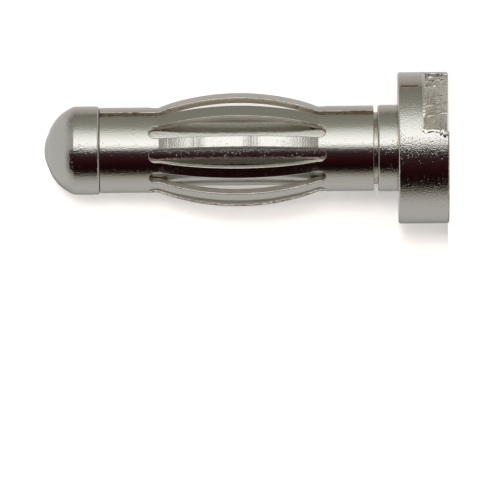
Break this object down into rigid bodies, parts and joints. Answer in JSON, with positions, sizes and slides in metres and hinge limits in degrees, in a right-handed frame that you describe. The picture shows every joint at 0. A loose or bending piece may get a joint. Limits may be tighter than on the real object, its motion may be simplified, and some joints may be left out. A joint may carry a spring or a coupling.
{
  "type": "battery lead lantern spring plug",
  "caption": "Nickel-plated bullet plug for a battery lead: a turned pin with a slotted, bowed lantern spring sleeve and a flat head milled for a wire at right angles.",
  "frame": {"origin": "centre of the head's rear face, which the plug stands on", "axes": "+Z along the plug's axis, from the head to the nose; the wire slot opens towards +X and -Y, 46.75 degrees below +X"},
  "size_m": [0.006, 0.006, 0.016],
  "materials": {
    "pin_plating": "polished",
    "sleeve_plating": "polished"
  },
  "bodies": {
    "root": {"plug_pin": "pin_plating", "lantern_sleeve": "sleeve_plating"}
  },
  "joints": []
}
